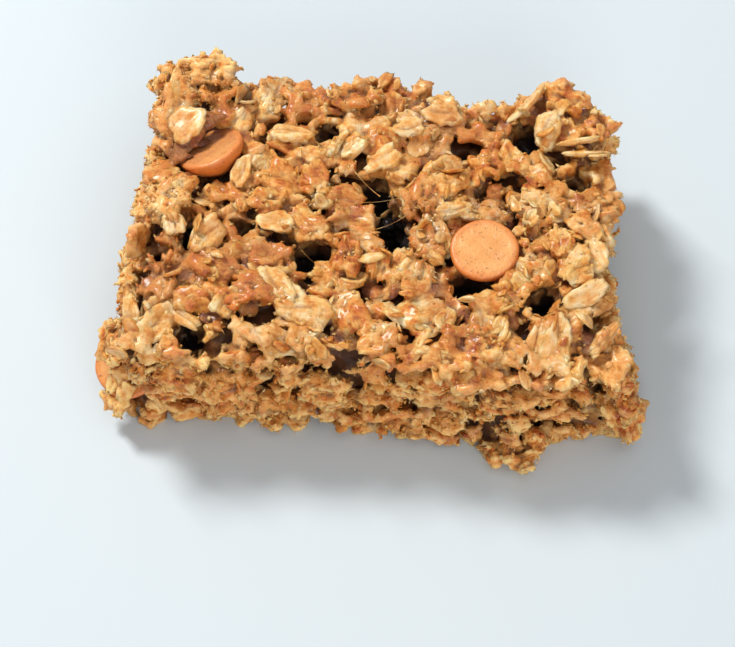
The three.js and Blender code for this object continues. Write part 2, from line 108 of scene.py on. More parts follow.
def top_height(x, y):
    """Height of the baked top: broad lumps and dips, and ripples a little wider than an oat."""
    ripple = np.sin(0.7 * x + 2.1 * np.sin(0.3 * y)) * np.sin(0.65 * y + 1.7 * np.sin(0.35 * x + 1))
    height = THICK + 0.5 * ripple
    for cx, cy, wide, deep, up in TOP_SWELLS:
        height = height + up * bump(x, cx, wide) * bump(y, cy, deep)
    return height


def soft_max(a, b, k):
    """The larger of two fields, with the crease between them rounded over a width k."""
    h = np.maximum(k - np.abs(a - b), 0) / k
    return np.maximum(a, b) + h * h * (k * 0.25)


def lumps(size, seed):
    """Smooth noise from -1 to 1 on the grid: random values on a lattice of the size, eased between.
    The size may be one number or three."""
    size = np.broadcast_to(size, 3)
    counts = [int(COUNT[i] * CELL / size[i]) + 3 for i in range(3)]
    values = np.random.default_rng(seed).uniform(-1, 1, counts).astype(np.float32)
    for axis in range(3):
        place = np.arange(COUNT[axis]) * (CELL / size[axis])
        low = place.astype(int)
        part = (place - low).astype(np.float32)
        part = part * part * (3 - 2 * part)
        shape = [1, 1, 1]
        shape[axis] = -1
        part = part.reshape(shape)
        values = np.take(values, low, axis) * (1 - part) + np.take(values, low + 1, axis) * part
    return values


top = top_height(X, Y)
walls = soft_max(soft_max(X - side_reach("right", Y, Z), -X - side_reach("left", Y, Z), 0.5),
                 soft_max(Y - side_reach("back", X, Z), -Y - side_reach("front", X, Z), 0.5), 4.0)
slab = soft_max(walls, Z - top, 3.0)
middle = lumps(1.5, 12)
fine = lumps(0.8, 13)

# Clumps of oats 4 to 6 mm across, domed, with seams between them that close with depth
clump = np.abs(lumps(4.6, 21) + 0.35 * lumps(2.1, 22))
upper = np.clip((Z - top + 2.4) / 1.8, 0, 1)
near_cut = np.clip((walls + 4.0) / 2.5, 0, 1)
firm = np.clip(Z / 3.5, 0.2, 1)
relief = (1.3 + 0.1 * upper) * firm * (1 - np.minimum(clump * 2.2, 1))
field = slab + 0.3 + relief + 0.45 * lumps(2.9, 11) + (0.34 - 0.14 * upper) * middle + 0.1 * fine
seams = 0.75 - 0.3 * upper - 0.8 * (1 - firm) - 2.6 * clump
field = soft_max(field, seams + 0.3 * middle + 0.3 * (slab + 1.0), 0.4)
del relief, seams

# Torn chunks on the cut sides: steps up to 2.3 mm deep, wider than tall, as the oats lie in layers
step = 0.65 * lumps((4.4, 4.4, 3.1), 31) + 0.65 * lumps((6.1, 5.5, 5.3), 33) + 0.4 * lumps((2.4, 2.4, 1.8), 32)
step = np.clip(7 * step, -1, 1)
field += (1 - upper) * firm * 1.1 * (1 - step)

# Pores and gaps between the oats, just under the skin; deeper in, the crumb is taken as solid
pores = 1.5 * (lumps(2.3, 14) + 0.55 * lumps(1.15, 15)) - 0.72 - 0.25 * upper
field = soft_max(field, np.minimum(pores, 2.3 + slab), 0.4)
field = np.minimum(field, slab + 3.0)
del pores, clump

# What is oat and what is syrup, each oat's own tone, and the place across it for its grooves
oatness = np.zeros(field.shape, np.float32)
# On the cut sides the tone starts from the torn steps: what stands out is painted paler and the recesses darker, as
# painted light and shade
tone = ((1 - upper) * 0.9 * step).astype(np.float32)
del step
across_oat = np.zeros(field.shape, np.float32)


def chance(n, k):
    """An even-looking number from 0 to 1 for item n and property k: the fraction of a large sine."""
    value = np.sin(n * 12.9898 + k * 78.233) * 43758.5453
    return value - np.floor(value)


def turned(turn, pitch, roll):
    """Rotation from an oat's own axes: rolled about its length, pitched, then turned in plan."""
    spin = Matrix.Rotation(math.radians(turn), 3, "Z")
    nod = Matrix.Rotation(math.radians(-pitch), 3, "Y")
    return np.array(spin @ nod @ Matrix.Rotation(math.radians(roll), 3, "X"))


def press_in(centre, half_sizes, axes, shade, seed, blend=0.3, crease=0.3, ragged=0.2, share=1.0):
    """Joins an oat to the field: a thin oval plate with a torn outline, a dish and a crease, whose
    distance is that to its curved middle sheet less half its thickness."""
    a, b, t = half_sizes
    reach = a + 1.2
    low = np.maximum(((np.array(centre) - reach - FIELD_LOW) / CELL).astype(int), 0)
    high = np.minimum(((np.array(centre) + reach - FIELD_LOW) / CELL).astype(int) + 2, COUNT)
    if np.any(high - low < 2):
        return
    window = tuple(slice(low[i], high[i]) for i in range(3))
    dx = X[window[0]] - centre[0]
    dy = Y[:, window[1]] - centre[1]
    dz = Z[:, :, window[2]] - centre[2]
    u, v, w = [axes[0, i] * dx + axes[1, i] * dy + axes[2, i] * dz for i in range(3)]
    theta = np.arctan2(v / b, u / a)
    outline = 1 + 0.10 * np.sin(3 * theta + 6.3 * chance(seed, 31)) + 0.07 * np.sin(5 * theta + 6.3 * chance(seed, 32))
    r = np.sqrt((u / a) ** 2 + (v / b) ** 2) / outline
    dish = (chance(seed, 33) - 0.3) * 1.1
    sheet = w - t * dish * (r * r - 0.4) + 0.25 * t * np.sin(1.3 * u + 6.3 * chance(seed, 34))
    beyond = np.maximum(r - 1 + t / b, 0) * min(a, b)
    body = t * (1 - crease * bump(v, 0.15 * b * np.sin(0.9 * u), 0.28)) * (1 - 0.12 * np.cos(7.5 * v))
    d = np.sqrt(beyond ** 2 + sheet ** 2) - body + ragged * (fine[window] + 0.8 * middle[window])
    old = field[window]
    h = np.clip(0.5 + 0.5 * (old - d) / blend, 0, 1)
    field[window] = old * (1 - h) + d * h - blend * h * (1 - h)
    oatness[window] += (share - oatness[window]) * h
    tone[window] += (shade - tone[window]) * h
    across_oat[window] += (v - across_oat[window]) * h


def clear_of_chips(x, y, z, reach):
    """True where a point is further from every chip's base centre than the reach."""
    return all(math.dist((x, y, z), at) > reach for at, _, _ in CHIPS.values())


# Oats on the top, about flat, spread by an even two-way sequence; the first ones are the solid's own
TOP_OATS = 400
top_rows = []
for n in range(TOP_OATS):
    x = -34.8 + 67.2 * (0.017 + 0.966 * ((0.5 + n * 0.7548776662) % 1))
    y = -21.7 + 45.9 * (0.025 + 0.955 * ((0.5 + n * 0.5698402910) % 1))
    first = n < 56
    grow = (0.8 + 0.5 * chance(n, 1)) * (1 if first else 0.4 + 0.5 * chance(n, 7))
    sink = (-0.5 + 0.7 * chance(n, 3)) if first else (-1.3 + 1.6 * chance(n, 3))
    z = float(top_height(x, y)) + sink
    if not clear_of_chips(x, y, z, CHIP_RADIUS + 1.2):
        continue
    thick = 0.62 * (0.8 + 0.6 * chance(n, 2)) * (1.15 if first else 0.85)
    axes = turned(360 * chance(n, 6), (26 if first else 44) * (chance(n, 4) - 0.5),
                  (56 if first else 80) * (chance(n, 5) - 0.5))
    press_in((x, y, z), (2.8 * grow, 2.1 * grow, thick), axes, 2 * chance(n, 8) - 1, n, 0.4, 0.3, 0.18)
    in_hollow = any(math.hypot(x - row[0], y - row[1]) < max(row[2:4]) + 1.0 for row in TOP_HOLLOWS)
    shown = first or (n < 200 and grow > 0.72 and sink > -0.6)
    if shown and not in_hollow:
        top_rows.append(((x, y, z + 0.05), (2.6 * grow, 1.9 * grow, 0.7 * thick), axes, 2 * chance(n, 8) - 1, n))

# Oats cut through by the knife, edge on in the four walls and more or less level
WALL_OATS = 300
LENGTH = 67.2
DEPTH = 45.9
for n in range(WALL_OATS):
    round_wall = (0.31 + n * 0.6180339887) % 1 * 2 * (LENGTH + DEPTH)
    h = 0.03 + 0.94 * ((n * 0.7548776662) % 1)
    z = h * THICK
    inward = (1.1 if n < 42 else 0.5) + 0.7 * chance(n, 11)
    if round_wall < LENGTH:
        x = round_wall - 34.8
        y = -float(side_reach("front", x, z)) + inward
        facing = 0
    elif round_wall < LENGTH + DEPTH:
        y = round_wall - LENGTH - 21.7
        x = float(side_reach("right", y, z)) - inward
        facing = 90
    elif round_wall < 2 * LENGTH + DEPTH:
        x = round_wall - LENGTH - DEPTH - 34.8
        y = float(side_reach("back", x, z)) - inward
        facing = 180
    else:
        y = round_wall - 2 * LENGTH - DEPTH - 21.7
        x = -float(side_reach("left", y, z)) + inward
        facing = 270
    if not clear_of_chips(x, y, z, CHIP_RADIUS):
        continue
    grow = (0.85 + 0.5 * chance(n, 12)) * (1 if n < 42 else 0.45 + 0.6 * chance(n, 17))
    thick = 0.6 * (1.0 + 0.8 * chance(n, 13)) * (1 if n < 42 else 0.75)
    face_on = 80 if n >= 42 and chance(n, 19) > 0.45 else 0
    ragged = 0.3
    if n >= 42 and chance(n, 20) > 0.62:
        grow, thick, ragged = 0.55 + 0.4 * chance(n, 21), 1.1 + 0.6 * chance(n, 22), 0.45
    axes = turned(facing + 70 * (chance(n, 14) - 0.5), 20 * (chance(n, 16) - 0.5),
                  face_on + 70 * (chance(n, 15) - 0.5))
    press_in((x, y, z), (2.8 * grow, 2.1 * grow, thick), axes, 2 * chance(n, 18) - 1, 1000 + n, 0.25,
             0.2, ragged)

# The larger oats and clumps that stand out: centre, half sizes, turn, pitch, roll and shade
LARGE_OATS = {
    "upright oat": ((23.4, 18.0, 22.0), (3.1, 2.0, 0.45), 80, 32, -8, 0.9),
    "oat on edge, upper": ((28.0, 16.2, 22.0), (3.4, 1.5, 0.4), 16, 0, -62, 0.7),
    "oat on edge, lower": ((28.9, 14.6, 21.4), (3.5, 1.6, 0.4), 4, 0, -58, 0.7),
    "long back oat": ((20.6, 22.6, 22.2), (3.9, 1.7, 0.5), 50, 14, -60, 0.5),
    "back right clump": ((25.8, 23.6, 22.0), (3.4, 2.8, 1.3), -30, 0, 20, -0.5),
    "clump by the right edge": ((31.4, 19.6, 20.8), (2.4, 1.9, 1.2), 20, 0, 0, -0.7),
    "creased oat": ((32.3, 5.7, 21.2), (2.5, 2.0, 1.2), 10, 0, 15, 0.6),
    "grooved oat": ((29.3, 1.8, 21.6), (2.9, 2.0, 1.2), -35, 0, 15, 0.6),
    "oat behind it": ((32.2, 1.2, 20.8), (2.0, 1.3, 0.9), -70, 0, 0, 0.2),
    "folded oat, left half": ((28.3, -4.2, 21.6), (3.4, 1.9, 0.7), 62, 0, -28, 0.3),
    "folded oat, right half": ((31.2, -2.8, 21.4), (2.8, 1.8, 0.7), -62, 0, 24, 0.4),
    "oat in front of them": ((28.9, -6.2, 21.8), (2.3, 1.7, 0.7), 35, 0, 20, 0.4),
    "slanted oat": ((29.8, -9.2, 21.0), (3.6, 1.6, 0.6), 30, 8, 26, 0.8),
    "big grooved oat": ((26.0, -17.2, 20.2), (3.9, 2.3, 0.7), 82, 26, 0, 0.6),
    "narrow oat beside it": ((23.1, -16.6, 20.0), (3.2, 1.3, 0.7), 72, 22, 0, 0.4),
    "thin right oat": ((32.8, -15.6, 19.8), (3.2, 1.1, 0.6), 52, 12, 30, -0.2),
    "curl, top": ((4.3, -14.6, 20.4), (3.4, 1.5, 0.55), -24, 0, -30, 0.7),
    "curl, side": ((6.4, -18.4, 20.0), (3.0, 1.2, 0.5), 68, 18, -40, 0.6),
    "toasted front crust": ((13.6, -18.4, 20.2), (4.6, 3.2, 1.2), -10, 0, 12, -0.6),
    "crust ridge": ((17.6, -16.2, 20.6), (3.2, 1.3, 0.8), 70, 10, 0, 0.1),
    "pale oat in the middle": ((4.6, -6.4, 21.0), (2.1, 1.6, 0.7), 48, 0, 10, 0.8),
    "toasted lobe": ((-4.9, -5.8, 20.6), (3.6, 2.5, 1.6), 78, 0, 0, -0.9),
    "lobe beside it": ((-0.2, -6.2, 20.4), (3.2, 2.0, 1.3), 80, 0, 12, -0.3),
    "long pale oat": ((-14.2, -10.8, 21.2), (3.8, 1.8, 0.7), -46, 0, 10, 0.7),
    "wide pale oat": ((-10.0, -14.6, 21.0), (4.3, 2.4, 0.9), -8, 0, 14, 0.5),
    "sticky toasted clump": ((-18.1, -12.0, 21.0), (3.6, 3.0, 1.2), 0, 0, 0, -0.9),
    "back left lump": ((-27.8, 25.2, 21.8), (4.2, 2.8, 1.6), 4, 0, 10, 0.9),
    "crag left of it": ((-33.4, 23.4, 21.4), (2.8, 2.2, 1.5), 70, 0, 0, 0.0),
    "round oat": ((-29.9, 15.0, 22.5), (3.0, 2.8, 0.7), 60, 16, -8, 0.5),
    "ragged middle": ((-31.2, 1.4, 21.6), (3.4, 2.8, 1.0), 70, 6, -10, 0.7),
    "ragged back": ((-30.4, 4.2, 21.6), (2.6, 2.2, 1.0), 20, 0, 14, 0.6),
    "ragged front": ((-30.3, -1.6, 21.4), (2.2, 1.7, 0.9), -60, -8, 0, 0.7),
    "plump tan oat": ((-17.2, 3.4, 21.2), (2.9, 2.0, 1.1), -8, 0, 8, -0.2),
    "clear oat": ((-21.2, 8.2, 20.6), (2.6, 1.4, 0.9), 76, 12, 0, 0.5),
    "broad tan flake": ((-25.2, -2.8, 20.6), (3.2, 2.2, 0.9), 60, 0, 16, 0.1),
    "flake by the small hole": ((-15.4, -0.2, 20.6), (2.8, 1.6, 0.8), 0, 0, 10, 0.2),
    "pale lobes at the back": ((-14.6, 15.2, 20.8), (3.3, 1.4, 0.8), 0, 0, -16, 0.4),
    "pale sliver": ((-7.6, 14.2, 21.2), (2.7, 0.8, 0.6), 58, 6, 0, 0.8),
    "clump at the back": ((-5.4, 22.4, 21.2), (3.6, 2.2, 1.2), 8, 0, 0, -0.2),
    "broad oat at the back": ((7.8, 20.6, 21.2), (2.8, 2.4, 0.9), -20, 0, 16, 0.4),
    "flake near it": ((2.9, 17.4, 21.2), (2.4, 1.6, 0.7), 16, 0, 12, 0.3),
    "flake towards the middle": ((-0.5, 11.6, 21.0), (3.0, 1.7, 0.8), 38, 0, 6, 0.3),
    "clump right of the big hole": ((6.9, 6.3, 20.8), (3.4, 2.4, 1.3), 60, 0, 0, 0.0),
    "peak above the chip": ((10.3, 8.4, 21.0), (2.4, 1.8, 1.1), 40, 14, 0, 0.2),
    "pale flake above the chip": ((9.9, 3.8, 20.8), (3.2, 1.4, 0.7), 18, 0, 18, 0.7),
    "toasted clump": ((14.8, 11.6, 21.2), (2.4, 2.2, 1.4), 0, 0, 0, -0.6),
    "clump at the right": ((22.7, 10.8, 20.8), (2.8, 1.8, 1.0), -20, 0, 0, 0.0),
    "pale nut piece": ((22.0, -4.4, 21.0), (2.0, 1.6, 1.2), -30, 0, 0, 1.0),
    "small pale flake": ((21.6, 2.8, 20.9), (1.4, 1.0, 0.7), 70, 0, 0, 0.8),
    "tan lobe in front of the chip": ((20.4, -9.0, 21.0), (4.4, 2.4, 1.3), 44, 0, 0, 0.1),
    "clump left of the chip": ((7.2, -2.2, 20.8), (3.0, 2.6, 1.3), 30, 0, 0, 0.2),
    "upper shell": ((-37.7, -18.0, 14.2), (3.6, 2.6, 1.0), 62, 56, -20, 0.4),
    "lower shell": ((-36.9, -22.0, 7.4), (4.6, 2.4, 1.0), 62, 60, -16, 0.6),
    "pale prong": ((-34.6, -16.8, 20.0), (3.4, 1.3, 0.7), 96, 30, -20, 0.6),
    "outer curl": ((-31.0, -17.6, 20.4), (3.2, 2.1, 0.8), 62, 10, 24, 0.3),
    "inner curl": ((-28.0, -16.2, 20.4), (3.8, 1.4, 0.7), -28, 0, -20, 0.5),
    "pale piece in the front": ((-6.8, -22.2, 11.6), (3.2, 2.7, 1.3), 0, 0, 68, 0.5),
    "chunk in the front": ((-20.7, -22.4, 12.4), (3.4, 2.9, 1.4), 6, 0, 60, 0.1),
    "toasted front chunk": ((-27.6, -22.4, 13.6), (3.0, 2.6, 1.4), -10, 0, 62, -0.4),
    "pale band in the front": ((19.2, -22.4, 13.4), (6.4, 1.6, 1.1), 0, 0, 40, 0.7),
    "lump at the front foot": ((22.2, -26.4, 2.6), (2.8, 2.4, 1.8), 10, 0, 0, 0.1),
    "torn corner": ((35.2, -19.6, 9.0), (5.2, 2.4, 1.2), -40, -58, 20, 0.1),
}
PLATE_BELOW = 0.95
for n, (centre, half_sizes, turn, pitch, roll, shade) in enumerate(LARGE_OATS.values()):
    if half_sizes[2] < PLATE_BELOW:
        press_in(centre, [0.86 * s for s in half_sizes], turned(turn, pitch, roll), shade, 2000 + n, 0.3)
    else:
        press_in(centre, half_sizes, turned(turn, pitch, roll), shade, 2000 + n, 0.3, 0.25, 0.55)

# The named hollows, broken out of the crust after the scattered oats, with torn edges
for cx, cy, a, b, deep, turn in TOP_HOLLOWS:
    angle = math.radians(turn)
    along = (X - cx) * math.cos(angle) + (Y - cy) * math.sin(angle)
    across = (Y - cy) * math.cos(angle) - (X - cx) * math.sin(angle)
    rise = Z - float(top_height(cx, cy)) - 0.4
    pit = (1 - np.sqrt((along / a) ** 2 + (across / b) ** 2 + (rise / deep) ** 2)) * min(a, b)
    field = soft_max(field, pit + 0.5 * middle + 0.3 * fine + 0.45, 0.3)
for cx, cy, cz, a, b, c, tilt in FRONT_HOLLOWS:
    angle = math.radians(tilt)
    along = (X - cx) * math.cos(angle) - (Z - cz) * math.sin(angle)
    up = (Z - cz) * math.cos(angle) + (X - cx) * math.sin(angle)
    pit = (1 - np.sqrt((along / a) ** 2 + ((Y - cy) / b) ** 2 + (up / c) ** 2)) * min(a, c)
    field = soft_max(field, pit + 0.25 * middle + 0.2 * fine + 0.1, 0.25)

# Solid crumb between three of the hollows and the back, so that no light comes through
for cx, cy, cz, a, b, c in ((13.6, 19.0, 11.5, 4.6, 1.8, 5.0), (14.6, 20.5, 16.0, 3.4, 1.3, 2.8),
                            (-15.7, 21.2, 15.6, 3.4, 1.4, 3.2)):
    plug = (np.sqrt(((X - cx) / a) ** 2 + ((Y - cy) / b) ** 2 + ((Z - cz) / c) ** 2) - 1) * b
    field = np.minimum(field, plug + 0.3 * middle)

# Syrup paste that flowed over the upper left of the second chip
PASTE = [((-28.9, 13.9, 21.6), (3.0, 1.5, 0.6), 40), ((-27.0, 15.8, 22.4), (2.8, 1.4, 0.6), 32),
         ((-30.6, 10.8, 20.6), (2.2, 1.5, 0.7), 60)]
for n, (at, halves, lean) in enumerate(PASTE):
    press_in(at, halves, turned(lean, 8, -24), -0.3, 3000 + n, 0.6, 0.0, 0.3, 0.4)

# Torn, crumbly grain over everything that the syrup hasn't smoothed, and the flat baked base
rough = 1 - 0.75 * upper * (1 - 0.9 * near_cut)
field += rough * (0.15 * fine + 0.10 * middle + 0.16 * lumps(0.55, 16))
for at, lean_x, lean_y in CHIPS.values():
    axes = np.array(Matrix.Rotation(math.radians(lean_x), 3, "X") @ Matrix.Rotation(math.radians(lean_y), 3, "Y"))
    dx, dy, dz = X - at[0], Y - at[1], Z - at[2]
    u, v, w = [axes[0, i] * dx + axes[1, i] * dy + axes[2, i] * dz for i in range(3)]
    drop = np.clip(-w / CHIP_HEIGHT, 0, 1)
    seat = np.maximum(np.sqrt(u * u + v * v) - CHIP_RADIUS * (1 - drop ** 1.7) - 0.15, w - 0.15)
    field = np.maximum(field, -seat)
field = np.maximum(field, np.maximum(-Z, Z - 24.3))


def blurred(values, cells):
    """The mean of a field over a cube of cells each way, by running sums along each axis."""
    for axis in range(3):
        pad = [(0, 0)] * 3
        pad[axis] = (cells + 1, cells)
        total = np.cumsum(np.pad(values, pad, mode="edge"), axis=axis, dtype=np.float64)
        size = values.shape[axis]
        high = np.take(total, np.arange(2 * cells + 1, 2 * cells + 1 + size), axis)
        low = np.take(total, np.arange(size), axis)
        values = ((high - low) / (2 * cells + 1)).astype(np.float32)
    return values


# How far each place stands out of its surroundings, or lies in a crevice, within about 1 mm and about 2.4 mm; the
# material paints shade into the crevices from these
cavity = blurred(np.clip(field, -2, 2), round(0.9 / CELL))
valley = blurred(np.clip(field, -4, 4), round(2.4 / CELL))


def level_surface(values):
    """Points and quads where the field crosses zero: one point in each mixed cell, at the mean of
    the crossings on its edges, and one quad round each crossed grid edge."""
    inside = values < 0
    corners = [(i, j, k) for i in (0, 1) for j in (0, 1) for k in (0, 1)]
    n = [c - 1 for c in values.shape]
    held = sum(inside[i:i + n[0], j:j + n[1], k:k + n[2]].astype(np.uint8) for i, j, k in corners)
    cells = np.argwhere((held > 0) & (held < 8))
    number = np.full(n, -1, np.int32)
    number[tuple(cells.T)] = np.arange(len(cells))
    total = np.zeros((len(cells), 3))
    hits = np.zeros(len(cells))
    for start in corners:
        for axis in range(3):
            if start[axis]:
                continue
            end = list(start)
            end[axis] = 1
            f0 = values[tuple((cells + start).T)]
            f1 = values[tuple((cells + end).T)]
            crossed = (f0 < 0) != (f1 < 0)
            share = np.where(crossed, f0 / np.where(crossed, f0 - f1, 1), 0)
            point = np.tile(np.array(start, float), (len(cells), 1))
            point[:, axis] += share
            total += point * crossed[:, None]
            hits += crossed
    points = FIELD_LOW + CELL * (cells + total / hits[:, None])
    quads = []
    for axis in range(3):
        one, two = (axis + 1) % 3, (axis + 2) % 3
        here = [slice(1, n[i]) for i in range(3)]
        here[axis] = slice(0, n[axis])
        there = list(here)
        there[axis] = slice(1, n[axis] + 1)
        a, b = inside[tuple(here)], inside[tuple(there)]
        for leaving in (True, False):
            base = np.argwhere(a & ~b if leaving else ~a & b)
            base += [0 if i == axis else 1 for i in range(3)]
            ring = []
            for p, q in ((1, 1), (0, 1), (0, 0), (1, 0)):
                cell = base.copy()
                cell[:, one] -= p
                cell[:, two] -= q
                ring.append(number[tuple(cell.T)])
            ring = ring if leaving else ring[::-1]
            quads.append(np.stack(ring, 1))
    return points, np.concatenate(quads)


def largest_part(points, quads):
    """Keeps the one connected body: labels sink to the lowest number in each part until they settle."""
    label = np.arange(len(points))
    a = quads.ravel()
    b = np.roll(quads, 1, axis=1).ravel()
    while True:
        low = np.minimum(label[a], label[b])
        before = label.copy()
        np.minimum.at(label, a, low)
        np.minimum.at(label, b, low)
        label = label[label]
        if np.array_equal(before, label):
            break
    names, sizes = np.unique(label, return_counts=True)
    keep = label == names[np.argmax(sizes)]
    new = np.cumsum(keep) - 1
    return points[keep], new[quads[keep[quads[:, 0]]]]


def sampled(values, points):
    """A field's value at points, eased between the eight cells around each."""
    place = (points - FIELD_LOW) / CELL
    low = np.clip(np.floor(place).astype(int), 0, np.array(values.shape) - 2)
    part = np.clip(place - low, 0, 1)
    total = np.zeros(len(points))
    for i in (0, 1):
        for j in (0, 1):
            for k in (0, 1):
                weight = np.abs([1 - i, 1 - j, 1 - k] - part).prod(1)
                total += weight * values[low[:, 0] + i, low[:, 1] + j, low[:, 2] + k]
    return total


def add_mesh(name, points, faces):
    """A mesh object from points in mm and faces of three or four corners each, shaded smooth."""
    mesh = bpy.data.meshes.new(name)
    faces = faces.tolist() if isinstance(faces, np.ndarray) else faces
    mesh.from_pydata(((np.maximum(points, (-99, -99, 0)) + TO_MIDDLE) * MM).tolist(), [], faces)
    mesh.update()
    mesh.polygons.foreach_set("use_smooth", np.ones(len(mesh.polygons), bool))
    piece = bpy.data.objects.new(name, mesh)
    bpy.context.collection.objects.link(piece)
    return piece


def paint(piece, name, values):
    """Writes a number, or three, for each point of a piece's mesh, for its material to read."""
    values = np.asarray(values, np.float32)
    if values.ndim == 2:
        layer = piece.data.attributes.new(name, "FLOAT_VECTOR", "POINT")
        layer.data.foreach_set("vector", values.ravel())
    else:
        layer = piece.data.attributes.new(name, "FLOAT", "POINT")
        layer.data.foreach_set("value", values)


def without_flaps(mesh):
    """Takes out flaps of no thickness: two faces on the same points, with the edges that only they use.
    Each edge loses its faces two at a time, so the skin stays closed."""
    work = bmesh.new()
    work.from_mesh(mesh)
    alike = {}
    for face in work.faces:
        alike.setdefault(frozenset(corner.index for corner in face.verts), []).append(face)
    flaps = [face for group in alike.values() for face in group[:len(group) // 2 * 2]]
    bmesh.ops.delete(work, geom=flaps, context="FACES")
    work.to_mesh(mesh)
    work.free()


points, quads = largest_part(*level_surface(field))
raw = add_mesh("raw_mass", points, quads)
thin = raw.modifiers.new("thin", "DECIMATE")
thin.ratio = min(1.0, 196000 / (2 * len(quads)))
settled = bpy.data.meshes.new_from_object(raw.evaluated_get(bpy.context.evaluated_depsgraph_get()))
bpy.data.objects.remove(raw)
without_flaps(settled)
mass = bpy.data.objects.new("baked_mass", settled)
bpy.context.collection.objects.link(mass)
settled.polygons.foreach_set("use_smooth", np.ones(len(settled.polygons), bool))
spots = np.empty(3 * len(settled.vertices))
settled.vertices.foreach_get("co", spots)
spots = spots.reshape(-1, 3) / MM - TO_MIDDLE
paint(mass, "oat", sampled(oatness, spots))
paint(mass, "tone", sampled(tone, spots))
paint(mass, "across", sampled(across_oat, spots))
# Painted shadow: one spot near the front of the top counts as deep, so it is painted near black like a hole
painted_shadow_spot = np.linalg.norm((spots - (1.2, -18.5, 20.2)) * (0.6, 1.0, 0.8), axis=1)
paint(mass, "sunk", sampled(-slab, spots) + 4.5 * bump(painted_shadow_spot, 0, 1.0))
AMBER_BITS = [(-9.6, -22.0, 5.7), (10.8, -22.0, 12.1), (28.9, -22.0, 5.9), (23.6, -26.4, 1.2)]
amber = sum(bump(np.linalg.norm((spots - at) * (0.7, 0.4, 1.1), axis=1), 0, 1.15) for at in AMBER_BITS)
paint(mass, "amber", amber)
crumbly = sum(bump(np.linalg.norm(spots - at, axis=1), 0, wide)
              for at, wide in (((-31.2, 1.6, 22.0), 4.0), ((-28.5, 23.0, 22.0), 5.0)))
paint(mass, "crust", sampled(upper * (1 - 0.6 * near_cut), spots) * (1 - 0.8 * crumbly))
stands_out = sampled(cavity, spots)
paint(mass, "cavity", stands_out)
paint(mass, "valley", sampled(valley, spots))
paint(mass, "crease", np.zeros(len(spots)))
paint(mass, "fibre", spots * (0.55, 1.0, 1.0))
print("mass triangles", sum(len(p.vertices) - 2 for p in settled.polygons), "of", 2 * len(quads))


def linear(hex_colour):
    """An sRGB hex colour as linear red, green, blue and alpha."""
    parts = [int(hex_colour[i:i + 2], 16) / 255 for i in (1, 3, 5)]
    return [c / 12.92 if c <= 0.04045 else ((c + 0.055) / 1.055) ** 2.4 for c in parts] + [1.0]


def node(tree, kind, settings=None, **links):
    """Adds a shader node, sets its plain settings and values, and links its named inputs."""
    made = tree.nodes.new(kind)
    for key, value in (settings or {}).items():
        if isinstance(key, str) and hasattr(made, key):
            setattr(made, key, value)
        else:
            made.inputs[key].default_value = value
    for key, source in links.items():
        target = int(key[1:]) if key[0] == "_" and key[1:].isdigit() else key.replace("_", " ")
        tree.links.new(source, made.inputs[target])
    return made


# Baked oats in syrup: cooked starch is matte and a little translucent, and the sugar syrup on the
# top crust gives a sticky shine; where the bar is cut it is paler, drier and rougher. Crevices, hollows
# and deep places are painted darker, down to near black, as painted shade, in part syrup that ran
# into them; raised places on the cut faces are painted pale as a painted highlight, and the edges that
# stood up in the oven are toasted.
baked = bpy.data.materials.new("baked_oats_in_brown_sugar_syrup")
baked.use_nodes = True
tree = baked.node_tree
shader = tree.nodes["Principled BSDF"]
place = node(tree, "ShaderNodeTexCoord").outputs["Object"]
oat, shade, sunk, crust, cavity, valley_here, crease = [
    node(tree, "ShaderNodeAttribute", {"attribute_name": name}).outputs["Fac"]
    for name in ("oat", "tone", "sunk", "crust", "cavity", "valley", "crease")]
fibre = node(tree, "ShaderNodeAttribute", {"attribute_name": "fibre"}).outputs["Vector"]


def noise(at, scale, detail, roughness=0.6):
    """Noise from about 0.2 to 0.8 at a place, with so many features to the unit of that place."""
    made = node(tree, "ShaderNodeTexNoise", {"Scale": scale, "Detail": detail, "Roughness": roughness}, Vector=at)
    return made.outputs["Fac"]


cloud = noise(place, 480.0, 5.0, 0.65)
patch = noise(place, 150.0, 4.0)
broad = noise(place, 55.0, 2.0, 0.5)
fine_grain = noise(place, 1300.0, 5.0, 0.72)
streak = noise(fibre, 1.9, 4.0)

def mapped(value, low, high, to_low=0.0, to_high=1.0):
    """A clamped linear map of a value from one range to another."""
    made = node(tree, "ShaderNodeMapRange", {"From Min": low, "From Max": high, "To Min": to_low,
                                             "To Max": to_high}, Value=value)
    return made.outputs[0]


def maths(operation, a, b):
    """One arithmetic step on two values, each a socket or a number."""
    made = node(tree, "ShaderNodeMath", {"operation": operation})
    for index, value in enumerate((a, b)):
        if isinstance(value, (int, float)):
            made.inputs[index].default_value = value
        else:
            tree.links.new(value, made.inputs[index])
    return made.outputs[0]


def blend(factor, a, b, kind="MIX"):
    """Mixes two colours by a factor; each is a socket or a hex colour."""
    made = node(tree, "ShaderNodeMix", {"data_type": "RGBA", "blend_type": kind})
    for index, value in ((0, factor), (6, a), (7, b)):
        if isinstance(value, str):
            made.inputs[index].default_value = linear(value)
        elif isinstance(value, (int, float)):
            made.inputs[index].default_value = value
        else:
            tree.links.new(value, made.inputs[index])
    return made.outputs[2]


def ramp(value, *stops):
    """Colours along a value: pairs of place and hex colour."""
    made = node(tree, "ShaderNodeValToRGB", {}, Fac=value)
    band = made.color_ramp
    band.elements[0].position, band.elements[0].color = stops[0][0], linear(stops[0][1])
    band.elements[1].position, band.elements[1].color = stops[-1][0], linear(stops[-1][1])
    for at, colour in stops[1:-1]:
        band.elements.new(at).color = linear(colour)
    return made.outputs[0]


